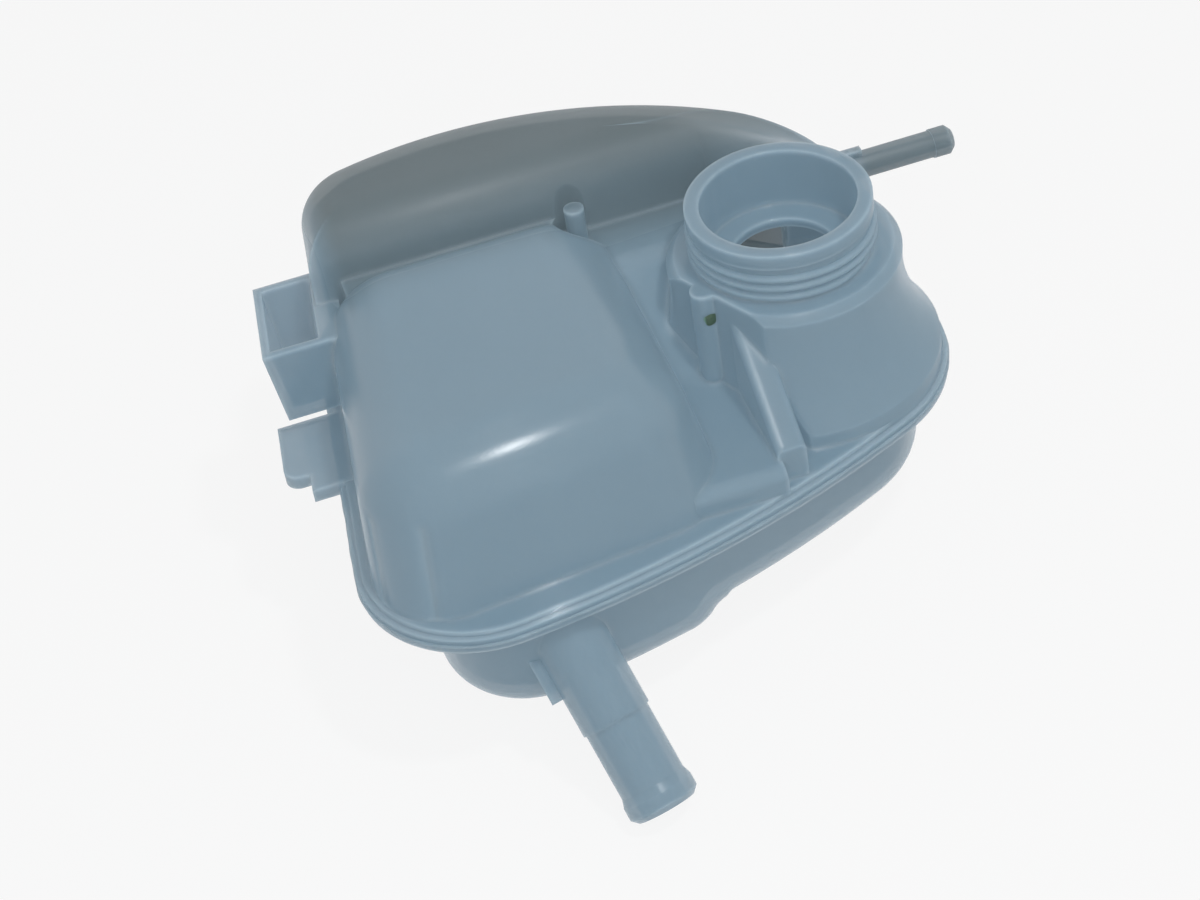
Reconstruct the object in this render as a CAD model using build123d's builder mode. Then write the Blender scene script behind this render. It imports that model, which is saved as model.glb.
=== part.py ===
"""Coolant expansion tank for a car: two moulded halves welded along a flanged rim.

The origin is the centre of the filler neck's rim. +Z points up out of the neck, +X runs from the
tank's wide end to its neck end, and +Y runs from the front to the back. Lengths are millimetres.
"""
import os
from math import atan2, cos, degrees, radians, sin, tan

from build123d import *

# Skins and the welded rim
wall = 2.6
bevel_share = 0.72
rim_to_weld = 57.0
lip_width = 4.0
lip_height = 2.2
ledge_inset = 1.6
ledge_height = 3.6

# Plan outline of the welded rim: arcs about the neck and two long flanks
neck_end_radius = 41.4
front_flank_radius = 330.0
back_flank_radius = 127.0
front_tangent_angle = -64.0
back_tangent_angle = 30.0
flank_sweep_angle = 115.0
front_corner_radius = 33.0
back_corner_radius = 22.0

# Filler neck
rim_radius = 25.0
rim_band = 4.2
thread_core_radius = 24.2
bore_radius = 21.0
bore_depth = 17.5
seat_radius = 14.0
plateau_drop = 15.6
plateau_radius = 31.6
plateau_bevel = 2.2
neck_dome_radius = 40.0
neck_dome_shoulder = 8.0
flare_sagitta = 3.0
flat_distance = 26.5
flat_direction_angle = 207.7

# Main dome
dome_drop = 12.0
dome_left = -126.0
left_lean_angle = 7.4
dome_front = -60.0
dome_front_reference = -100.0
dome_front_lean_angle = 6.0
dome_right = -33.5
dome_back = 38.5
dome_left_draft_angle = 3.0
dome_front_draft_angle = 11.0
dome_right_draft_angle = 12.0
dome_back_draft_angle = 3.0
dome_round = 20.0
dome_back_round = 4.0

# Rear hump
hump_drop = 0.5
hump_inset = 3.2
hump_draft_angle = 0.8
hump_round = 12.0
hump_front = 41.0
hump_front_round = 13.0
hump_bend_x = -8.0
hump_turn_angle = 26.6
hump_fall_angle = 18.0

# Valley between the lobes, and the pocket in front of the neck
saddle_drop = 23.0
saddle_back = 44.0
saddle_left = -60.0
saddle_right = 10.0
crease_drop = 16.5
crease_front = 30.0
crease_left = -113.0
crease_right = -50.0
pocket_drop = 46.0
pocket_front = -52.0
valley_left = -46.0
valley_right = -20.5
chute_top = 22.0
chute_foot = -10.0
chute_round = 12.0
pocket_round = 3.5

# Stiffening rib, post and locating peg
rib_left = -21.5
rib_width = 8.0
rib_back = -10.0
rib_front = -47.5
rib_top_drop = 17.0
rib_front_drop = 43.0
rib_round = 1.5
post_radius = 3.6
post_shift = -4.5
post_length = 27.0
peg_centre = (-47.3, 35.5)
peg_radius = 2.8
peg_top_drop = 10.8
peg_well_radius = 7.0

# Lower half
bowl_inset = 5.5
bowl_end_inset = 11.2
bowl_neck_inset = 2.2
deep_depth = 40.0
shallow_depth = 33.0
step_x = -44.0
step_run = 6.0
lower_draft_angle = 6.0
bowl_round = 11.5
step_crest_share = 1.2
step_foot_round = 2.5

# Hose spigots
outlet_root = (-86.0, -58.0)
outlet_root_depth = 16.0
outlet_heading_angle = -72.5
outlet_slope_angle = 45.0
outlet_length = 51.5
outlet_radius = 9.1
outlet_collar_radius = 9.7
outlet_collar_length = 25.0
outlet_bead_radius = 9.9
outlet_bead_length = 5.0
outlet_bead_run = 2.5
outlet_run_in = 12.0
outlet_tip_chamfer = 1.6
outlet_bore_radius = 6.6
bleed_y = 29.6
bleed_drop = 20.0
bleed_root = 12.0
bleed_tip = 60.0
bleed_radius = 3.8
bleed_bead_radius = 4.1
bleed_bead_length = 6.0
bleed_tip_chamfer = 1.4
bleed_bore_radius = 2.2

# Hanging pocket and tab on the wide end
lug_drop = 22.0
lug_depth = 25.0
lug_reach = 17.0
lug_front = 25.0
lug_back = 56.0
lug_wall = 2.2
lug_taper_angle = 6.0
lug_root = 6.0
tab_reach = 14.5
tab_front = 10.5
tab_back = 33.0
tab_height = 4.0
tab_step = 7.0
tab_step_reach = 7.5
tab_corner = 4.0

weld_z = -rim_to_weld
weld_plane = Plane.XY.offset(weld_z)


def wall_plane(point, heading, draft, skin):
    """Plane of a wall that faces the heading in plan, leans back by its draft and lies a skin inside."""
    flat = cos(radians(draft))
    outward = (flat * cos(radians(heading)), flat * sin(radians(heading)), sin(radians(draft)))
    return Plane(origin=(point[0], point[1], weld_z), z_dir=outward).offset(-skin)


def flank_arc(flank_radius, tangent, sweep):
    """Flank arc that runs on from the neck end at the given angle, past the wide end."""
    reach = flank_radius - neck_end_radius
    centre = (-reach * cos(radians(tangent)), -reach * sin(radians(tangent)))
    return CenterArc(centre, flank_radius, tangent, sweep)


def rim_outline(inset, end_inset=0):
    """Plan outline of the welded rim, moved inwards, and further in again at the wide end."""
    front_share = back_flank_radius / front_flank_radius
    neck_sweep = back_tangent_angle - front_tangent_angle
    with BuildSketch() as outline:
        with BuildLine():
            CenterArc((0, 0), neck_end_radius, front_tangent_angle, neck_sweep)
            back = flank_arc(back_flank_radius, back_tangent_angle, flank_sweep_angle)
            front = flank_arc(front_flank_radius, front_tangent_angle, -flank_sweep_angle * front_share)
            Line(back @ 1, front @ 1)
        make_face()
        wide_end = (dome_left - lip_width + end_inset, 0)
        split(bisect_by=wall_plane(wide_end, 180 - left_lean_angle, 0, 0), keep=Keep.BOTTOM)
        corners = outline.edges().filter_by(GeomType.LINE)[0].vertices().sort_by(Axis.Y)
        fillet(corners[0], front_corner_radius)
        fillet(outline.vertices().sort_by_distance(corners[1])[0], back_corner_radius)
        if inset > 0:
            offset(amount=-inset)
    return outline.sketch


def slab(inset, height):
    """Upright slab of the rim outline, standing on the weld plane."""
    with BuildPart() as body:
        with BuildSketch(weld_plane):
            add(rim_outline(inset))
        extrude(amount=height)
    return body.part


def soften(corners, radius, skin):
    """Round the corners of an outer face, or bevel those of the hollow behind it."""
    if skin > 0:
        chamfer(corners, bevel_share * (radius - skin))
    else:
        fillet(corners, radius)


def main_dome(skin):
    """Main dome, or the hollow inside it where skin is the wall."""
    height = rim_to_weld - dome_drop - skin
    reach = 3 * back_flank_radius
    walls = [((dome_left, 0), 180 - left_lean_angle, dome_left_draft_angle),
             ((dome_front_reference, dome_front), dome_front_lean_angle - 90, dome_front_draft_angle),
             ((dome_right, 0), 0, dome_right_draft_angle),
             ((0, dome_back), 90, dome_back_draft_angle)]
    with BuildPart() as dome:
        with BuildSketch(weld_plane):
            Rectangle(reach, reach)
        extrude(amount=height)
        for point, heading, draft in walls:
            split(bisect_by=wall_plane(point, heading, draft, skin), keep=Keep.BOTTOM)
        top = dome.faces().sort_by(Axis.Z)[-1]
        front_face = dome.faces().sort_by(Axis.Y)[0]
        brow = top.edges().sort_by(Axis.Y)[:-1] + front_face.edges().sort_by(Axis.Z)[1:-1]
        soften(brow, dome_round, skin)
        back_face = dome.faces().sort_by(Axis.Y)[-1]
        soften(back_face.edges().sort_by(Axis.Z)[-1], dome_back_round, skin)
    return dome.part


def rear_hump(skin):
    """Higher lobe along the back, or the hollow inside it; it turns and falls away behind the neck."""
    far = 3 * back_flank_radius
    with BuildPart() as block:
        with BuildSketch(weld_plane):
            add(rim_outline(hump_inset + skin))
        extrude(amount=rim_to_weld - hump_drop - skin, taper=hump_draft_angle)
        soften(block.faces().sort_by(Axis.Z)[-1].edges(), hump_round, skin)
    runs = []
    for turn, fall, back_length in ((0, 0, far), (hump_turn_angle, hump_fall_angle, far / 2)):
        level = cos(radians(fall))
        along = (level * cos(radians(turn)), -level * sin(radians(turn)), -sin(radians(fall)))
        inward = (sin(radians(turn)), cos(radians(turn)), 0)
        section = Plane((hump_bend_x, hump_front, -hump_drop), x_dir=inward, z_dir=along)
        with BuildPart() as run:
            with BuildSketch(section) as profile:
                Polygon((skin, -far), (skin, -skin), (far, -skin), (far, -far), align=None)
                soften(profile.vertices().sort_by_distance((skin, -skin))[0], hump_front_round, skin)
            extrude(amount=-back_length)
            if turn > 0:
                extrude(profile.sketch, amount=back_length)
            add(block.part, mode=Mode.INTERSECT)
        runs.append(run.part)
    with BuildPart() as hump:
        add(runs)
    return hump.part


def neck_dome(skin):
    """Flared dome under the filler neck with its flat side, or the hollow inside it."""
    top_z = -plateau_drop - skin
    foot = neck_dome_radius - skin
    shoulder_z = weld_z + neck_dome_shoulder - skin
    facing = radians(flat_direction_angle)
    flat = (flat_distance * cos(facing), flat_distance * sin(facing))
    brow = (plateau_radius - skin, top_z - plateau_bevel)
    with BuildPart() as dome:
        with BuildSketch(Plane.XZ):
            with BuildLine():
                Polyline(brow, (plateau_radius - skin - plateau_bevel, top_z), (0, top_z), (0, weld_z),
                         (foot, weld_z), (foot, shoulder_z))
                flare = SagittaArc((foot, shoulder_z), brow, flare_sagitta, mode=Mode.PRIVATE)
                if skin > 0:
                    Polyline(flare @ 0, flare @ 0.5, flare @ 1)
                else:
                    add(flare)
            make_face()
        revolve(axis=Axis.Z)
        split(bisect_by=wall_plane(flat, flat_direction_angle, 0, skin), keep=Keep.BOTTOM)
    return dome.part


def valley(skin):
    """Floor between the lobes: pocket, chute, saddle behind the neck, and crease behind the dome."""
    saddle_z = -saddle_drop - skin
    pocket_z = -pocket_drop - skin
    saddle_front = chute_top + chute_round / 2
    with BuildPart() as floor:
        with BuildSketch(Plane.YZ.offset(valley_left)) as profile:
            Polygon((saddle_back, weld_z), (saddle_back, saddle_z), (chute_top - skin / 2, saddle_z),
                    (chute_foot - skin / 2, pocket_z), (pocket_front + skin, pocket_z),
                    (pocket_front + skin, weld_z), align=None)
            bends = profile.vertices().sort_by(Axis.X)[2:4]
            fillet(bends, chute_round)
            brow = profile.vertices().sort_by_distance((pocket_front + skin, pocket_z))[0]
            soften(brow, pocket_round, skin)
        extrude(amount=valley_right - valley_left)
        with BuildSketch(weld_plane):
            Polygon((saddle_left, saddle_front), (saddle_right, saddle_front), (saddle_right, saddle_back),
                    (saddle_left, saddle_back), align=None)
        extrude(amount=saddle_z - weld_z)
        with BuildSketch(weld_plane):
            Polygon((crease_left + skin, crease_front), (crease_right - skin, crease_front),
                    (crease_right - skin, saddle_back), (crease_left + skin, saddle_back), align=None)
        extrude(amount=rim_to_weld - crease_drop - skin)
    return floor.part


def lobes(skin):
    """All that rises above the weld plane, or the hollow inside it."""
    well_z = -saddle_drop - skin
    with BuildPart() as body:
        add(slab(ledge_inset + skin, ledge_height - skin))
        add(main_dome(skin))
        add(rear_hump(skin))
        add(neck_dome(skin))
        add(valley(skin))
        with BuildSketch(Plane.XY.offset(well_z)):
            with Locations(peg_centre):
                Circle(peg_well_radius + skin)
        extrude(amount=-well_z, mode=Mode.SUBTRACT)
    return body.part


def rib():
    """Sloping rib beside the pocket, from the flat of the neck dome to the ledge."""
    foot_z = weld_z + lip_height
    with BuildPart() as body:
        with BuildSketch(Plane.YZ.offset(rib_left)):
            Polygon((rib_back, -rib_top_drop), (rib_front, -rib_front_drop), (rib_front, foot_z),
                    (rib_back, foot_z), align=None)
        extrude(amount=rib_width)
        crest = body.faces().sort_by(Axis.Z)[-1]
        fillet(crest.edges().filter_by(Axis.X, reverse=True), rib_round)
    return body.part


def post():
    """Half-round post on the flat of the neck dome, with a ball end."""
    along = flat_direction_angle + 90
    centre = (flat_distance * cos(radians(flat_direction_angle)) + post_shift * cos(radians(along)),
              flat_distance * sin(radians(flat_direction_angle)) + post_shift * sin(radians(along)))
    with BuildPart() as body:
        with Locations((*centre, -plateau_drop)):
            Cylinder(post_radius, post_length, align=(Align.CENTER, Align.CENTER, Align.MAX))
        with Locations((*centre, -plateau_drop - post_length)):
            Sphere(post_radius)
    return body.part


def bleed_spigot():
    """Thin hose spigot on the neck end, with a bead at its tip."""
    with BuildPart() as body:
        with BuildSketch(Plane((bleed_root, bleed_y, -bleed_drop), x_dir=(1, 0, 0), z_dir=(0, -1, 0))):
            length = bleed_tip - bleed_root
            bead = length - bleed_bead_length
            Polygon((0, 0), (0, bleed_radius), (bead, bleed_radius), (bead, bleed_bead_radius),
                    (length - bleed_tip_chamfer, bleed_bead_radius),
                    (length, bleed_bead_radius - bleed_tip_chamfer), (length, 0), align=None)
        revolve(axis=Axis((bleed_root, bleed_y, -bleed_drop), (1, 0, 0)))
    return body.part


def left_x(y):
    """Where the wide end's wall meets the weld plane."""
    return dome_left + y * tan(radians(left_lean_angle))


def hanging_pocket(skin):
    """Open-topped box on the wide end that hangs the tank on its bracket, or the space in it."""
    reach = lug_reach - skin
    root = lug_root if skin == 0 else -skin / 2
    front = lug_front + skin
    back = lug_back - skin
    with BuildPart() as body:
        with BuildSketch(Plane.XY.offset(-lug_drop)):
            Polygon((left_x(front) - reach, front), (left_x(front) + root, front),
                    (left_x(back) + root, back), (left_x(back) - reach, back), align=None)
        extrude(amount=skin - lug_depth, taper=lug_taper_angle)
    return body.part


def edge_tab():
    """Flat tab that runs out from the welded rim at the wide end."""
    edge = -lip_width
    step_y = tab_front - tab_step
    with BuildPart() as body:
        with BuildSketch(weld_plane) as plan:
            Polygon((left_x(step_y), step_y), (left_x(step_y) + edge - tab_step_reach, step_y),
                    (left_x(tab_front) + edge - tab_step_reach, tab_front),
                    (left_x(tab_front) + edge - tab_reach, tab_front),
                    (left_x(tab_back) + edge - tab_reach, tab_back), (left_x(tab_back), tab_back),
                    align=None)
            corner = plan.vertices().sort_by_distance((left_x(tab_front) + edge - tab_reach, tab_front))[0]
            fillet(corner, tab_corner)
        extrude(amount=tab_height)
    return body.part


def lower_bowl(skin):
    """Stepped bowl below the weld plane, or the hollow inside it."""
    far = 3 * back_flank_radius
    shift = skin * tan(atan2(deep_depth - shallow_depth, step_run) / 2)
    step_high = (step_x + step_run / 2 - shift, weld_z - shallow_depth + skin)
    step_low = (step_x - step_run / 2 - shift, weld_z - deep_depth + skin)
    with BuildPart() as bowl:
        with BuildSketch(weld_plane):
            outline = rim_outline(bowl_inset + skin, bowl_end_inset)
            add(outline.moved(Location((-bowl_neck_inset, 0))))
        extrude(amount=skin - deep_depth, taper=lower_draft_angle)
        with BuildSketch(Plane.XZ) as below:
            Polygon((far, step_high[1]), step_high, step_low, (-far, step_low[1]), (-far, -far),
                    (far, -far), align=None)
            fillet(below.vertices().sort_by_distance(step_high)[0], step_foot_round)
            fillet(below.vertices().sort_by_distance(step_low)[0], step_crest_share * bowl_round)
        extrude(amount=far, both=True, mode=Mode.SUBTRACT)
        floor = bowl.faces().filter_by(lambda face: face.normal_at().Z < -0.5)
        soften(floor.edges().filter_by(Axis.Y, reverse=True), bowl_round, skin)
    return bowl.part


outlet_bearing = radians(outlet_heading_angle)
outlet_dip = radians(outlet_slope_angle)
outlet_plane = Plane(
    origin=(*outlet_root, weld_z - outlet_root_depth),
    z_dir=(cos(outlet_dip) * cos(outlet_bearing), cos(outlet_dip) * sin(outlet_bearing), -sin(outlet_dip)))


def outlet_spigot():
    """Thick hose spigot that slants down from the lower half, with collar and bead."""
    bead = outlet_length - outlet_bead_length
    with BuildPart() as body:
        with BuildSketch(Plane(outlet_plane.origin, x_dir=outlet_plane.z_dir, z_dir=outlet_plane.x_dir)):
            Polygon((-outlet_run_in, 0), (-outlet_run_in, outlet_collar_radius),
                    (outlet_collar_length, outlet_collar_radius), (outlet_collar_length, outlet_radius),
                    (bead - outlet_bead_run, outlet_radius), (bead, outlet_bead_radius),
                    (outlet_length - outlet_tip_chamfer, outlet_bead_radius),
                    (outlet_length, outlet_bead_radius - outlet_tip_chamfer), (outlet_length, 0),
                    align=None)
        revolve(axis=Axis(outlet_plane.origin, outlet_plane.z_dir))
    return body.part


os.makedirs("parts", exist_ok=True)

with BuildPart() as upper_shell:
    add(lobes(0))
    add(slab(0, lip_height))
    add(rib())
    add(post())
    add(bleed_spigot())
    add(hanging_pocket(0))
    add(edge_tab())
    add(hanging_pocket(lug_wall), mode=Mode.SUBTRACT)
    add(lobes(wall), mode=Mode.SUBTRACT)
    with Locations((*peg_centre, -saddle_drop - wall / 2)):
        Cylinder(peg_radius, saddle_drop + wall / 2 - peg_top_drop,
                 align=(Align.CENTER, Align.CENTER, Align.MIN))
    with BuildSketch(Plane.XZ):
        Polygon((0, 0), (rim_radius, 0), (rim_radius, -rim_band), (thread_core_radius, -rim_band),
                (thread_core_radius, -plateau_drop), (bore_radius + wall, -plateau_drop),
                (bore_radius + wall, -bore_depth - wall), (0, -bore_depth - wall), align=None)
    revolve(axis=Axis.Z)
    with Locations((0, 0, 0)):
        Cylinder(bore_radius, bore_depth, align=(Align.CENTER, Align.CENTER, Align.MAX), mode=Mode.SUBTRACT)
        Cylinder(seat_radius, bore_depth + 2 * wall, align=(Align.CENTER, Align.CENTER, Align.MAX),
                 mode=Mode.SUBTRACT)
    with Locations(Plane((bleed_root - wall, bleed_y, -bleed_drop), z_dir=(1, 0, 0))):
        Cylinder(bleed_bore_radius, bleed_tip - bleed_root + 2 * wall,
                 align=(Align.CENTER, Align.CENTER, Align.MIN), mode=Mode.SUBTRACT)
upper_shell.part.label = "upper_shell"
export_step(upper_shell.part, "parts/upper_shell.step")

with BuildPart() as lower_shell:
    with BuildSketch(weld_plane):
        add(rim_outline(0))
    extrude(amount=-lip_height)
    add(lower_bowl(0))
    add(outlet_spigot())
    add(lower_bowl(wall), mode=Mode.SUBTRACT)
    with Locations(outlet_plane.offset(-outlet_run_in)):
        Cylinder(outlet_bore_radius, outlet_run_in + outlet_length + wall,
                 align=(Align.CENTER, Align.CENTER, Align.MIN), mode=Mode.SUBTRACT)
lower_shell.part.label = "lower_shell"
export_step(lower_shell.part, "parts/lower_shell.step")
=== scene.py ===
"""Looks of a coolant expansion tank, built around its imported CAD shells."""

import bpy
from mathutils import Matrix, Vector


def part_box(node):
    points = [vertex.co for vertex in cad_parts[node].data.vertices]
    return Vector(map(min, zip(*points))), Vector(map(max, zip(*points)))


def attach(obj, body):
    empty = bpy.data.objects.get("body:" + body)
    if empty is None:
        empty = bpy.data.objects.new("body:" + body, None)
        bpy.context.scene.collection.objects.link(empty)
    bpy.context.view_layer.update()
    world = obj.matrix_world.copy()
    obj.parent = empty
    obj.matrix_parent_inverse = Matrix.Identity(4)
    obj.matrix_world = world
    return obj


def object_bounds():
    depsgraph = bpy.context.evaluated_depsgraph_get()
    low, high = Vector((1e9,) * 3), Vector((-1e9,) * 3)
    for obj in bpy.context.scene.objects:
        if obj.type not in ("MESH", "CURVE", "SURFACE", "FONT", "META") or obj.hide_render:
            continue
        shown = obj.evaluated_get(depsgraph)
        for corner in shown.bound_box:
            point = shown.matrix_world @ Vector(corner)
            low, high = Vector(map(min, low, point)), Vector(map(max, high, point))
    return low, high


bl_info = {
    "name": "Coolant expansion tank",
    "version": (1, 0, 0),
    "blender": (4, 5, 0),
    "location": "View3D > Sidebar > Tank",
    "description": "Dresses the tank's two shells in milky plastic, adds its small pieces and sets the stage",
    "category": "Object",
}

from math import cos, pi, radians, sin

import bpy
import numpy as np
from mathutils import Matrix, Vector

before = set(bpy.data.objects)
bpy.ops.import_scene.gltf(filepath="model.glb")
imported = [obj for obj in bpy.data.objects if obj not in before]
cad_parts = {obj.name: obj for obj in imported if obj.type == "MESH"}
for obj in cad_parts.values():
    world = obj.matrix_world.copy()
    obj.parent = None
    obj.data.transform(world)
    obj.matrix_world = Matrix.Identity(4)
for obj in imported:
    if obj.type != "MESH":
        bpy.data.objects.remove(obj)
cad_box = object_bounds()

SHELLS = ("upper_shell", "lower_shell")
PLASTIC = "milky_plastic"

# Stretches, in metres, over which the plastic turns to its darker back colour, a painted shade: the hump and
# the bleed spigot, which get less light.
HUMP_DEPTH = (0.022, 0.052)
HUMP_ALONG = (-0.122, -0.110)
BLEED_DEPTH = (0.016, 0.024)
BLEED_ALONG = (0.026, 0.036)
BLEED_SHARE = 0.8
BACK_ROUGHNESS = 0.22

# Uneven skin: wide clouds in tint and gloss, fine grain in the relief.
CLOUD_SCALE, CLOUD_DETAIL = 16.0, 1.0
CLOUD_RANGE = (0.35, 0.75)
CLOUD_TINT = 0.05
CLOUD_ROUGHNESS = 0.06
GRAIN_SCALE, GRAIN_DETAIL = 900.0, 2.0
GRAIN_STRENGTH, GRAIN_HEIGHT = 0.05, 0.0004

# Edges, found where the softened normal departs from the face's own: paler with painted light, and smoother
# off the hump.
EDGE_SAMPLES = 6
EDGE_RANGE = (0.10, 0.28)
EDGE_PAINTED_LIGHT = 0.5
EDGE_POLISH = 0.15

PLASTIC_IOR = 1.49
PLASTIC_SPECULAR = 0.45

# Green paint: mottled, and thin towards one side of the dot, in shares of its radius.
MOTTLE_SCALE, MOTTLE_DETAIL = 1400.0, 3.0
MOTTLE_MEAN = 0.5
MOTTLE_TINT = 0.35
MOTTLE_ROUGHNESS = 0.2
PAINT_ROUGHNESS = 0.35
SMEAR_RANGE = (0.6, 0.95)
SMEAR_WANDER = 0.0006

# Thread: its foot sinks into the core, and its height fades to a tail over the run-out.
THREAD_STATIONS = 240
THREAD_RUN_OUT = radians(35)
THREAD_TAIL = 0.05
THREAD_SHOULDER = 0.45
THREAD_SINK = 0.0003

# Waves are rows of count round the turn, phase and share.
BEAD_STATIONS, BEAD_SIDES = 420, 8
BEAD_WAVES = ((23, 0.0, 0.6), (61, 1.3, 0.4))
DOT_RINGS, DOT_SPOKES = 6, 28
DOT_WAVES = ((3, 0.6, 0.07), (5, 0.0, 0.05))
DOT_STRETCH = 1.12
DOT_SWELL, DOT_SINK = 0.00022, 0.00004

SEAM_TOLERANCE = 1e-5
SEAM_DIGITS = 7


class Field:
    """A shader value; sums and products of fields add their own Math nodes."""

    def __init__(self, graph, socket):
        self.graph = graph
        self.socket = socket

    def _math(self, operation, first, second):
        return self.graph.field("ShaderNodeMath", {"operation": operation}, {0: first, 1: second})

    def __add__(self, other):
        return self._math("ADD", self, other)

    def __radd__(self, other):
        return self._math("ADD", other, self)

    def __sub__(self, other):
        return self._math("SUBTRACT", self, other)

    def __rsub__(self, other):
        return self._math("SUBTRACT", other, self)

    def __mul__(self, other):
        return self._math("MULTIPLY", self, other)

    def __rmul__(self, other):
        return self._math("MULTIPLY", other, self)

    def highest(self, other):
        return self._math("MAXIMUM", self, other)

    def step(self, low, high):
        """Smooth step from 0 at low to 1 at high."""
        return self.graph.field(
            "ShaderNodeMapRange", {"interpolation_type": "SMOOTHSTEP"},
            {"Value": self, "From Min": low, "From Max": high})


class Graph:
    """Node tree of one material or world, with one method that makes every node."""

    def __init__(self, owner):
        owner.use_nodes = True
        self.tree = owner.node_tree
        self.tree.nodes.clear()

    def node(self, kind, settings=None, inputs=None):
        made = self.tree.nodes.new(kind)
        for name, value in (settings or {}).items():
            setattr(made, name, value)
        for key, value in (inputs or {}).items():
            socket = made.inputs[key]
            if isinstance(value, Field):
                self.tree.links.new(value.socket, socket)
            elif isinstance(value, bpy.types.NodeSocket):
                self.tree.links.new(value, socket)
            else:
                socket.default_value = value
        return made

    def field(self, kind, settings=None, inputs=None, output=0):
        return Field(self, self.node(kind, settings, inputs).outputs[output])

    def place(self):
        """Position in the object's own coordinates."""
        return self.field("ShaderNodeTexCoord", output=3)

    def axis(self, place, number):
        return self.field("ShaderNodeSeparateXYZ", None, {0: place}, output=number)

    def noise(self, place, scale, detail):
        return self.field("ShaderNodeTexNoise", None, {"Vector": place, "Scale": scale, "Detail": detail})

    def blend(self, factor, first, second):
        """Colour between two colours."""
        return self.field(
            "ShaderNodeMix", {"data_type": "RGBA"}, {0: factor, 6: first, 7: second}, output=2)

    def show(self, shader, kind="ShaderNodeOutputMaterial"):
        """Make a shader the tree's result."""
        self.node(kind, None, {0: shader.outputs[0]})


def rgba(colour):
    return (*colour, 1.0)


class ShellFinish(bpy.types.PropertyGroup):
    """Milky plastic of both halves."""

    front_colour: bpy.props.FloatVectorProperty(
        name="Front colour", description="Body colour of the plastic towards the outlet's side",
        subtype="COLOR", size=3, default=(0.195, 0.28, 0.34))
    # Painted shade: the hump and the bleed spigot get less light, so they are painted in this darker, greyer
    # colour.
    back_shade_colour: bpy.props.FloatVectorProperty(
        name="Back colour", description="Body colour of the plastic in the hump and the bleed spigot",
        subtype="COLOR", size=3, default=(0.115, 0.148, 0.160))
    # Painted light along the corners, where the milky plastic looks brighter; the clouds are tinted towards
    # the same pale colour.
    cloud_and_edge_light_colour: bpy.props.FloatVectorProperty(
        name="Edge colour", description="Paler tint where the plastic turns a corner",
        subtype="COLOR", size=3, default=(0.37, 0.47, 0.54))
    edge_radius: bpy.props.FloatProperty(
        name="Edge radius", description="Radius to which sharp mould edges are softened",
        unit="LENGTH", default=0.003)
    bulge_centre: bpy.props.FloatProperty(
        name="Bulge centre", description="Where the dome's skin bulges most", unit="LENGTH", default=-0.088)
    bulge_length: bpy.props.FloatProperty(
        name="Bulge length", description="Length of one swell of the skin", unit="LENGTH", default=0.2)
    bulge_slope: bpy.props.FloatProperty(
        name="Bulge slope", description="Steepest slope of the swelling skin", default=0.16)
    roughness: bpy.props.FloatProperty(
        name="Roughness", description="Mean roughness of the moulded skin", default=0.22)
    opacity: bpy.props.FloatProperty(
        name="Opacity", description="How much one skin hides what is behind it",
        subtype="FACTOR", default=0.74)
    milkiness: bpy.props.FloatProperty(
        name="Milkiness", description="Share of the light that spreads inside the skin",
        subtype="FACTOR", default=1.0)
    scatter: bpy.props.FloatProperty(
        name="Scatter", description="How far light spreads inside the skin", unit="LENGTH", default=0.006)
    # Painted light: the skin glows with its own colour, though it is no lamp, and so lifts its shaded
    # recesses.
    painted_glow: bpy.props.FloatProperty(
        name="Glow", description="Light carried in the milky walls, as a share of the body colour",
        subtype="FACTOR", default=0.34)


class NeckThread(bpy.types.PropertyGroup):
    """Screw thread outside the filler neck."""

    core_radius: bpy.props.FloatProperty(
        name="Core radius", description="Radius of the neck that carries the thread",
        unit="LENGTH", default=0.0242)
    height: bpy.props.FloatProperty(
        name="Height", description="How far the thread stands off its core", unit="LENGTH", default=0.0013)
    foot: bpy.props.FloatProperty(
        name="Foot width", description="Width of the thread at its core", unit="LENGTH", default=0.0021)
    crest: bpy.props.FloatProperty(
        name="Crest width", description="Width of the thread at its crest", unit="LENGTH", default=0.0008)
    top: bpy.props.FloatProperty(
        name="Top", description="Height at which the thread starts", unit="LENGTH", default=-0.0056)
    pitch: bpy.props.FloatProperty(
        name="Pitch", description="Rise of one turn", unit="LENGTH", default=0.0029)
    turns: bpy.props.FloatProperty(
        name="Turns", description="Number of turns", default=2.9)


class WeldBead(bpy.types.PropertyGroup):
    """Thin bead of plastic squeezed out of the weld between the halves."""

    radius: bpy.props.FloatProperty(
        name="Radius", description="Radius of the bead", unit="LENGTH", default=0.0005)
    wander: bpy.props.FloatProperty(
        name="Wander", description="How far the bead's thickness varies, as a share of its radius",
        subtype="FACTOR", default=0.25)


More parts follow.
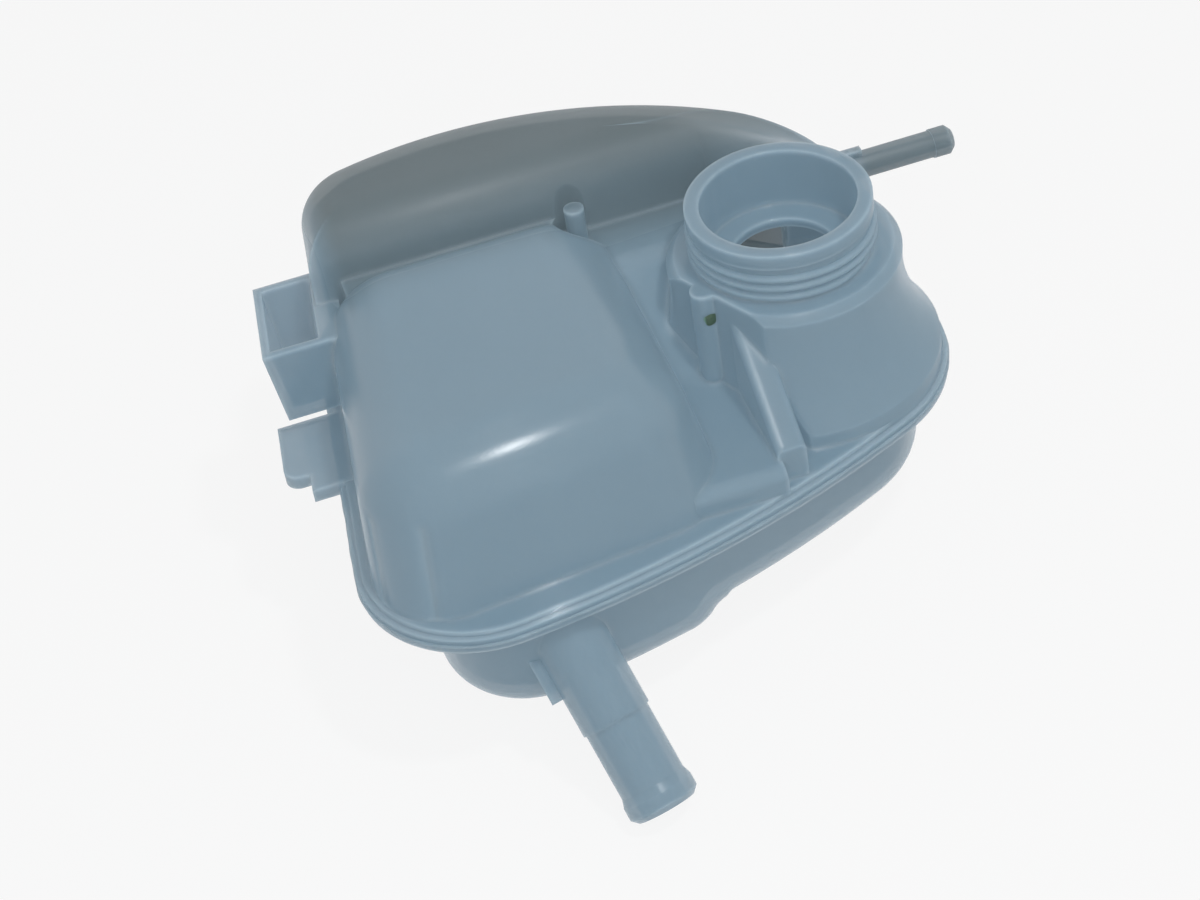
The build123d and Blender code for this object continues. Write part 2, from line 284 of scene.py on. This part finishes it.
class RootGussets(bpy.types.PropertyGroup):
    """Small stiffening webs at the roots of the two spigots."""

    outlet_end: bpy.props.FloatVectorProperty(
        name="Outlet web's end", description="Spot on the outlet's axis where its web ends",
        size=3, unit="LENGTH", default=(-0.083087, -0.067239, -0.082688))
    outlet_axis: bpy.props.FloatVectorProperty(
        name="Outlet axis", description="Direction in which the outlet runs",
        size=3, subtype="DIRECTION", default=(0.2126, -0.6744, -0.7071))
    outlet_side: bpy.props.FloatVectorProperty(
        name="Outlet web's side", description="Direction in which the outlet's web stands off",
        size=3, subtype="DIRECTION", default=(-0.972, -0.069, -0.227))
    outlet_length: bpy.props.FloatProperty(
        name="Outlet web's length", description="Length of the outlet's web along it",
        unit="LENGTH", default=0.013)
    outlet_radii: bpy.props.FloatVectorProperty(
        name="Outlet web's radii", description="Radii between which the outlet's web stands",
        size=2, unit="LENGTH", default=(0.0088, 0.0127))
    bleed_end: bpy.props.FloatVectorProperty(
        name="Bleed web's end", description="Spot on the bleed spigot's axis where its web ends",
        size=3, unit="LENGTH", default=(0.0335, 0.0296, -0.02))
    bleed_axis: bpy.props.FloatVectorProperty(
        name="Bleed axis", description="Direction in which the bleed spigot runs",
        size=3, subtype="DIRECTION", default=(1, 0, 0))
    bleed_side: bpy.props.FloatVectorProperty(
        name="Bleed web's side", description="Direction in which the bleed spigot's web stands off",
        size=3, subtype="DIRECTION", default=(0, 0, 1))
    bleed_length: bpy.props.FloatProperty(
        name="Bleed web's length", description="Length of the bleed spigot's web along it",
        unit="LENGTH", default=0.006)
    bleed_radii: bpy.props.FloatVectorProperty(
        name="Bleed web's radii", description="Radii between which the bleed spigot's web stands",
        size=2, unit="LENGTH", default=(0.0030, 0.0056))
    thickness: bpy.props.FloatProperty(
        name="Thickness", description="Thickness of each web", unit="LENGTH", default=0.0024)


class PaintDot(bpy.types.PropertyGroup):
    """Inspection dot of green paint on the post beside the neck."""

    post_centre: bpy.props.FloatVectorProperty(
        name="Post centre", description="Axis of the post in plan",
        size=2, unit="LENGTH", default=(-0.02555, -0.00833))
    post_radius: bpy.props.FloatProperty(
        name="Post radius", description="Radius of the post", unit="LENGTH", default=0.0036)
    bearing: bpy.props.FloatProperty(
        name="Bearing", description="Direction of the dot round the post",
        subtype="ANGLE", default=radians(-84))
    height: bpy.props.FloatProperty(
        name="Height", description="Height of the dot's centre", unit="LENGTH", default=-0.0231)
    radius: bpy.props.FloatProperty(
        name="Radius", description="Radius of the dot", unit="LENGTH", default=0.0020)
    colour: bpy.props.FloatVectorProperty(
        name="Colour", description="Colour of the thick paint",
        subtype="COLOR", size=3, default=(0.052, 0.085, 0.045))
    smear_colour: bpy.props.FloatVectorProperty(
        name="Smear colour", description="Colour where the paint is thin",
        subtype="COLOR", size=3, default=(0.20, 0.34, 0.27))


class StageSetup(bpy.types.PropertyGroup):
    """Floor, lamps and camera."""

    floor_colour: bpy.props.FloatVectorProperty(
        name="Floor colour", description="Colour of the pale floor",
        subtype="COLOR", size=3, default=(0.6, 0.6, 0.6))
    floor_veil: bpy.props.FloatProperty(
        name="Floor veil", description="How far the floor fades to white where it is the background",
        subtype="FACTOR", default=0.88)
    floor_reach: bpy.props.FloatProperty(
        name="Floor reach", description="How far the floor runs to each side", unit="LENGTH", default=4.0)
    sky_colour: bpy.props.FloatVectorProperty(
        name="Sky colour", description="Colour of the even light from all round",
        subtype="COLOR", size=3, default=(0.94, 0.97, 1.0))
    sky_strength: bpy.props.FloatProperty(
        name="Sky strength", description="Brightness of the even light from all round", default=0.42)
    lamp_aim: bpy.props.FloatVectorProperty(
        name="Lamp aim", description="Spot on the dome at which both lamps point",
        size=3, unit="LENGTH", default=(-0.085, -0.03, -0.02))
    lamp_direction: bpy.props.FloatVectorProperty(
        name="Lamp direction", description="Direction from the dome to the main lamp",
        size=3, subtype="DIRECTION", default=(0.22, -0.40, 0.89))
    lamp_distance: bpy.props.FloatProperty(
        name="Lamp distance", description="Distance of the main lamp from the dome",
        unit="LENGTH", default=1.1)
    lamp_power: bpy.props.FloatProperty(
        name="Lamp power", description="Power of the main lamp", unit="POWER", default=3.7)
    lamp_size: bpy.props.FloatProperty(
        name="Lamp size", description="Width of the main lamp", unit="LENGTH", default=0.09)
    fill_setback: bpy.props.FloatProperty(
        name="Fill setback", description="Distance of the wide lamp, as a share of the camera's", default=1.1)
    fill_power: bpy.props.FloatProperty(
        name="Fill power", description="Power of the wide lamp behind the camera", unit="POWER", default=2.1)
    fill_size: bpy.props.FloatProperty(
        name="Fill size", description="Width of the wide lamp behind the camera", unit="LENGTH", default=0.5)
    lens: bpy.props.FloatProperty(
        name="Lens", description="Focal length of the camera", unit="CAMERA", default=90.0)
    sensor_width: bpy.props.FloatProperty(
        name="Sensor width", description="Width of the camera's sensor", unit="CAMERA", default=36.0)
    camera_place: bpy.props.FloatVectorProperty(
        name="Camera place", description="Where the camera stands",
        size=3, unit="LENGTH", default=(-0.174596, -0.609232, 0.474466))
    camera_bearing: bpy.props.FloatProperty(
        name="Camera bearing", description="Turn of the camera about the upright",
        subtype="ANGLE", default=radians(-10.8))
    camera_pitch: bpy.props.FloatProperty(
        name="Camera pitch", description="How far the camera looks down",
        subtype="ANGLE", default=radians(41.0718))
    camera_roll: bpy.props.FloatProperty(
        name="Camera roll", description="Turn of the camera about its line of sight",
        subtype="ANGLE", default=radians(-9.9518))


def milky_plastic(finish):
    """Translucent moulded plastic: cool body colour with painted shade on the hump, painted light on its
    edges and a skin that glows as painted light, soft uneven skin.
    """
    material = bpy.data.materials.new(PLASTIC)
    graph = Graph(material)
    place = graph.place()
    along, depth = graph.axis(place, 0), graph.axis(place, 1)
    cloud = graph.noise(place, CLOUD_SCALE, CLOUD_DETAIL)
    grain = graph.noise(place, GRAIN_SCALE, GRAIN_DETAIL)

    # Mask of the painted shade on the hump and the bleed spigot; it also makes them rougher.
    hump = depth.step(*HUMP_DEPTH) * along.step(*HUMP_ALONG)
    bleed = along.step(*BLEED_ALONG) * depth.step(*BLEED_DEPTH)
    back = hump.highest(bleed * BLEED_SHARE)
    softened = graph.node("ShaderNodeBevel", {"samples": EDGE_SAMPLES}, {"Radius": finish.edge_radius})
    own = graph.node("ShaderNodeNewGeometry")
    agree = graph.field("ShaderNodeVectorMath", {"operation": "DOT_PRODUCT"},
                        {0: softened.outputs[0], 1: own.outputs["Normal"]}, output=1)
    edge = (1 - agree).step(*EDGE_RANGE)

    # Painted shade: the hump and the bleed spigot turn to the darker back colour.
    body = graph.blend(back, rgba(finish.front_colour), rgba(finish.back_shade_colour))
    body = graph.blend(cloud.step(*CLOUD_RANGE) * CLOUD_TINT, body, rgba(finish.cloud_and_edge_light_colour))
    # Painted light: the edges turn towards the pale colour.
    body = graph.blend(edge * EDGE_PAINTED_LIGHT, body, rgba(finish.cloud_and_edge_light_colour))
    roughness = (cloud * CLOUD_ROUGHNESS + back * BACK_ROUGHNESS + edge * (back - 1) * EDGE_POLISH
                 + (finish.roughness - CLOUD_ROUGHNESS / 2))

    wave = 2 * pi / finish.bulge_length
    bulge = graph.field("ShaderNodeMath", {"operation": "COSINE"}, {0: (along - finish.bulge_centre) * wave})
    crowned = graph.node("ShaderNodeBump", None, {
        "Strength": 1.0, "Distance": finish.bulge_slope / wave, "Height": bulge,
        "Normal": softened.outputs[0]})
    skin = graph.node("ShaderNodeBump", None, {
        "Strength": GRAIN_STRENGTH, "Distance": GRAIN_HEIGHT, "Height": grain, "Normal": crowned.outputs[0]})
    # The emission is painted light: the skin glows in the body colour, with its painted shade and painted
    # edge light.
    graph.show(graph.node("ShaderNodeBsdfPrincipled", None, {
        "Base Color": body, "Roughness": roughness, "Normal": skin.outputs[0], "Alpha": finish.opacity,
        "IOR": PLASTIC_IOR, "Specular IOR Level": PLASTIC_SPECULAR,
        "Subsurface Weight": finish.milkiness, "Subsurface Scale": finish.scatter,
        "Subsurface Radius": (1.0, 1.0, 1.0), "Emission Color": body, "Emission Strength": finish.painted_glow}))
    return material


def dot_paint(dot):
    """Dab of green paint, thin at one side."""
    material = bpy.data.materials.new("green_paint")
    graph = Graph(material)
    place = graph.place()
    mottle = graph.noise(place, MOTTLE_SCALE, MOTTLE_DETAIL)
    across = graph.axis(place, 0) + (mottle - MOTTLE_MEAN) * SMEAR_WANDER
    centre = dot.post_centre[0] + dot.post_radius * cos(dot.bearing)
    thin = across.step(*(centre - share * dot.radius for share in SMEAR_RANGE))
    paint = graph.blend(mottle * MOTTLE_TINT, rgba(dot.colour), rgba(dot.smear_colour))
    graph.show(graph.node("ShaderNodeBsdfPrincipled", None, {
        "Base Color": graph.blend(thin, paint, rgba(dot.smear_colour)),
        "Roughness": PAINT_ROUGHNESS + mottle * MOTTLE_ROUGHNESS}))
    return material


def new_piece(name, points, faces, material=None, smooth=True):
    """Mesh piece that rides on the tank, in the shells' plastic unless it has its own material."""
    mesh = bpy.data.meshes.new(name)
    mesh.from_pydata([tuple(p) for p in points], [], faces)
    mesh.update()
    mesh.materials.append(material or bpy.data.materials[PLASTIC])
    mesh.polygons.foreach_set("use_smooth", [smooth] * len(mesh.polygons))
    piece = bpy.data.objects.new(name, mesh)
    bpy.context.scene.collection.objects.link(piece)
    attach(piece, "root")


def sweep_faces(stations, ring, closed):
    """Quads between neighbouring rings of a sweep, and caps on an open one."""
    faces = []
    for i in range(stations if closed else stations - 1):
        first, second = i * ring, (i + 1) % stations * ring
        for j in range(ring):
            k = (j + 1) % ring
            faces.append((first + j, first + k, second + k, second + j))
    if not closed:
        faces.append(tuple(reversed(range(ring))))
        faces.append(tuple(range((stations - 1) * ring, stations * ring)))
    return faces


def waver(waves, angle):
    """Sum of sine waves round a turn."""
    return sum(share * sin(count * angle + phase) for count, phase, share in waves)


def rim_outline(shell, seam):
    """Outline of the rim at the seam, as the convex hull of the shell's points there."""
    mesh = shell.data
    spots = np.empty(len(mesh.vertices) * 3)
    mesh.vertices.foreach_get("co", spots)
    spots = spots.reshape(-1, 3)
    level = np.abs(spots[:, 2] - seam) < SEAM_TOLERANCE
    spots = np.unique(np.round(spots[level][:, :2], SEAM_DIGITS), axis=0)
    hull = []
    for ordered in (spots, spots[::-1]):
        half = []
        for spot in ordered:
            while len(half) > 1:
                along, turn = half[-1] - half[-2], spot - half[-1]
                if along[0] * turn[1] - along[1] * turn[0] > 0:
                    break
                half.pop()
            half.append(spot)
        hull += half[:-1]
    return np.array(hull)


def even_path(outline, count):
    """Points at even spacing round a closed outline."""
    closed = np.vstack([outline, outline[:1]])
    lengths = np.concatenate([[0], np.cumsum(np.linalg.norm(np.diff(closed, axis=0), axis=1))])
    marks = np.linspace(0, lengths[-1], count, endpoint=False)
    return np.stack([np.interp(marks, lengths, closed[:, k]) for k in range(2)], axis=1)


class TANK_OT_shells(bpy.types.Operator):
    """Give both moulded halves their milky plastic."""

    bl_idname = "tank.shells"
    bl_label = "Finish shells"

    def execute(self, context):
        plastic = milky_plastic(context.scene.tank_shell_finish)
        for node in SHELLS:
            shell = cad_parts[node]
            shell.data.materials.clear()
            shell.data.materials.append(plastic)
        return {"FINISHED"}


class TANK_OT_thread(bpy.types.Operator):
    """Wind the thread round the filler neck."""

    bl_idname = "tank.neck_thread"
    bl_label = "Neck thread"

    def execute(self, context):
        thread = context.scene.tank_neck_thread
        sweep = 2 * pi * thread.turns
        shoulder = 0.5 * (thread.foot + thread.crest)
        points = []
        for i in range(THREAD_STATIONS):
            turn = sweep * i / (THREAD_STATIONS - 1)
            fade = min(1.0, turn / THREAD_RUN_OUT, (sweep - turn) / THREAD_RUN_OUT)
            height = thread.height * (THREAD_TAIL + (1 - THREAD_TAIL) * fade)
            middle = thread.top - thread.pitch * turn / (2 * pi)
            flank = ((-THREAD_SINK, thread.foot), (THREAD_SHOULDER * height, shoulder),
                     (height, thread.crest))
            section = [(rise, width / 2) for rise, width in flank]
            section += [(rise, -width / 2) for rise, width in reversed(flank)]
            for rise, lift in section:
                radius = thread.core_radius + rise
                points.append((radius * cos(turn), radius * sin(turn), middle + lift))
        new_piece("neck_thread", points, sweep_faces(THREAD_STATIONS, len(section), False))
        return {"FINISHED"}


class TANK_OT_weld_bead(bpy.types.Operator):
    """Lay the weld's bead along the joint of the halves."""

    bl_idname = "tank.weld_bead"
    bl_label = "Weld bead"

    def execute(self, context):
        bead = context.scene.tank_weld_bead
        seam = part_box("lower_shell")[1][2]
        path = even_path(rim_outline(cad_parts["lower_shell"], seam), BEAD_STATIONS)
        ahead = np.roll(path, -1, axis=0) - np.roll(path, 1, axis=0)
        outward = np.stack([ahead[:, 1], -ahead[:, 0]], axis=1)
        outward /= np.linalg.norm(outward, axis=1)[:, None]
        points = []
        for i, (spot, out) in enumerate(zip(path, outward)):
            reach = bead.radius * (1 + bead.wander * waver(BEAD_WAVES, 2 * pi * i / BEAD_STATIONS))
            for j in range(BEAD_SIDES):
                angle = 2 * pi * j / BEAD_SIDES
                points.append((*(spot + out * reach * cos(angle)), seam + reach * sin(angle)))
        new_piece("weld_bead", points, sweep_faces(BEAD_STATIONS, BEAD_SIDES, True))
        return {"FINISHED"}


class TANK_OT_gussets(bpy.types.Operator):
    """Stand a small web at the root of each spigot."""

    bl_idname = "tank.gussets"
    bl_label = "Root gussets"

    def execute(self, context):
        webs = context.scene.tank_gussets
        self.web("outlet_gusset", webs.outlet_end, webs.outlet_axis, webs.outlet_side,
                 webs.outlet_length, webs.outlet_radii, webs.thickness)
        self.web("bleed_gusset", webs.bleed_end, webs.bleed_axis, webs.bleed_side,
                 webs.bleed_length, webs.bleed_radii, webs.thickness)
        return {"FINISHED"}

    def web(self, name, end, axis, side, length, radii, thickness):
        end, axis, side = Vector(end), Vector(axis).normalized(), Vector(side).normalized()
        across = axis.cross(side)
        points = [end - axis * back + side * radius + across * half
                  for back in (0, length) for radius in radii for half in (-thickness / 2, thickness / 2)]
        faces = [(0, 1, 3, 2), (4, 6, 7, 5), (0, 4, 5, 1), (2, 3, 7, 6), (0, 2, 6, 4), (1, 5, 7, 3)]
        new_piece(name, points, faces, smooth=False)


class TANK_OT_paint_dot(bpy.types.Operator):
    """Dab the inspection dot on the post."""

    bl_idname = "tank.paint_dot"
    bl_label = "Paint dot"

    def execute(self, context):
        dot = context.scene.tank_paint_dot
        points, faces = [], []
        for i in range(DOT_RINGS + 1):
            share = i / DOT_RINGS
            radius = dot.post_radius + DOT_SWELL * (1 - share ** 3) - DOT_SINK
            for j in range(DOT_SPOKES):
                angle = 2 * pi * j / DOT_SPOKES
                reach = share * dot.radius * (1 + waver(DOT_WAVES, angle))
                bearing = dot.bearing + DOT_STRETCH * reach * cos(angle) / dot.post_radius
                points.append((dot.post_centre[0] + radius * cos(bearing),
                               dot.post_centre[1] + radius * sin(bearing), dot.height + reach * sin(angle)))
        for i in range(DOT_RINGS):
            inner, outer = i * DOT_SPOKES, (i + 1) * DOT_SPOKES
            for j in range(DOT_SPOKES):
                k = (j + 1) % DOT_SPOKES
                faces.append((inner + j, outer + j, outer + k, inner + k))
        new_piece("paint_dot", points, faces, dot_paint(dot))
        return {"FINISHED"}


class TANK_OT_stage(bpy.types.Operator):
    """Set the pale floor, the lamps and the camera."""

    bl_idname = "tank.stage"
    bl_label = "Stage"

    def execute(self, context):
        stage = context.scene.tank_stage
        context.scene.view_settings.view_transform = "Standard"
        self.floor(stage)
        self.sky(stage)
        self.lamps(stage)
        self.camera(stage)
        return {"FINISHED"}

    def floor(self, stage):
        low, reach = cad_box[0][2], stage.floor_reach
        corners = [(x * reach, y * reach, low) for x, y in ((-1, -1), (1, -1), (1, 1), (-1, 1))]
        mesh = bpy.data.meshes.new("floor")
        mesh.from_pydata(corners, [], [(0, 1, 2, 3)])
        material = bpy.data.materials.new("pale_floor")
        graph = Graph(material)
        matt = graph.node("ShaderNodeBsdfDiffuse", None, {"Color": rgba(stage.floor_colour)})
        white = graph.node("ShaderNodeEmission", None, {"Color": (1, 1, 1, 1), "Strength": 1.0})
        graph.show(graph.node("ShaderNodeMixShader", None, {
            0: self.seen(graph) * stage.floor_veil, 1: matt.outputs[0], 2: white.outputs[0]}))
        mesh.materials.append(material)
        floor = bpy.data.objects.new("floor", mesh)
        bpy.context.scene.collection.objects.link(floor)

    def seen(self, graph):
        """1 for rays that show the background: to the camera, in reflections and through the plastic."""
        path = graph.node("ShaderNodeLightPath")
        camera, glossy, through = (Field(graph, path.outputs[name]) for name in (
            "Is Camera Ray", "Is Glossy Ray", "Is Transmission Ray"))
        return camera.highest(glossy).highest(through)

    def sky(self, stage):
        world = bpy.data.worlds.new("sky")
        bpy.context.scene.world = world
        graph = Graph(world)
        light = graph.node("ShaderNodeBackground", None, {0: rgba(stage.sky_colour), 1: stage.sky_strength})
        white = graph.node("ShaderNodeBackground", None, {0: (1, 1, 1, 1), 1: 1.0})
        mix = graph.node("ShaderNodeMixShader", None, {
            0: self.seen(graph), 1: light.outputs[0], 2: white.outputs[0]})
        graph.show(mix, "ShaderNodeOutputWorld")

    def lamps(self, stage):
        """A small main lamp for the highlight, and a wide one behind the camera without a reflection."""
        aim = Vector(stage.lamp_aim)
        towards = Vector(stage.lamp_direction).normalized()
        self.lamp("main_lamp", aim, towards * stage.lamp_distance, stage.lamp_power, stage.lamp_size)
        behind = (Vector(stage.camera_place) - aim) * stage.fill_setback
        fill = self.lamp("fill_lamp", aim, behind, stage.fill_power, stage.fill_size)
        fill.visible_glossy = False

    def lamp(self, name, aim, offset, power, size):
        data = bpy.data.lights.new(name, "AREA")
        data.shape = "DISK"
        data.energy = power
        data.size = size
        lamp = bpy.data.objects.new(name, data)
        lamp.location = aim + offset
        lamp.rotation_euler = offset.to_track_quat("Z", "Y").to_euler()
        bpy.context.scene.collection.objects.link(lamp)
        return lamp

    def camera(self, stage):
        bearing, pitch = stage.camera_bearing, stage.camera_pitch
        back = Vector((sin(bearing) * cos(pitch), -cos(bearing) * cos(pitch), sin(pitch)))
        right = Vector((cos(bearing), sin(bearing), 0))
        level = Matrix((right, back.cross(right), back)).transposed()
        turn = level @ Matrix.Rotation(stage.camera_roll, 3, "Z")
        camera = bpy.data.objects.new("camera", bpy.data.cameras.new("camera"))
        camera.data.lens = stage.lens
        camera.data.sensor_width = stage.sensor_width
        camera.matrix_world = Matrix.Translation(stage.camera_place) @ turn.to_4x4()
        bpy.context.scene.collection.objects.link(camera)
        bpy.context.scene.camera = camera


class TANK_PT_panel(bpy.types.Panel):
    """Lists the tank's pieces."""

    bl_idname = "TANK_PT_panel"
    bl_label = "Coolant tank"
    bl_space_type = "VIEW_3D"
    bl_region_type = "UI"
    bl_category = "Tank"

    def draw(self, context):
        for step in STEPS:
            self.layout.operator(step.bl_idname)


STEPS = (TANK_OT_shells, TANK_OT_thread, TANK_OT_weld_bead, TANK_OT_gussets, TANK_OT_paint_dot, TANK_OT_stage)
SETTINGS = {
    "tank_shell_finish": ShellFinish, "tank_neck_thread": NeckThread, "tank_weld_bead": WeldBead,
    "tank_gussets": RootGussets, "tank_paint_dot": PaintDot, "tank_stage": StageSetup,
}


def register():
    for name, group in SETTINGS.items():
        bpy.utils.register_class(group)
        setattr(bpy.types.Scene, name, bpy.props.PointerProperty(type=group))
    for step in STEPS:
        bpy.utils.register_class(step)
    bpy.utils.register_class(TANK_PT_panel)


def unregister():
    bpy.utils.unregister_class(TANK_PT_panel)
    for step in reversed(STEPS):
        bpy.utils.unregister_class(step)
    for name, group in SETTINGS.items():
        delattr(bpy.types.Scene, name)
        bpy.utils.unregister_class(group)


def main():
    register()
    bpy.ops.tank.shells()
    bpy.ops.tank.neck_thread()
    bpy.ops.tank.weld_bead()
    bpy.ops.tank.gussets()
    bpy.ops.tank.paint_dot()
    bpy.ops.tank.stage()


if __name__ == "__main__":
    main()
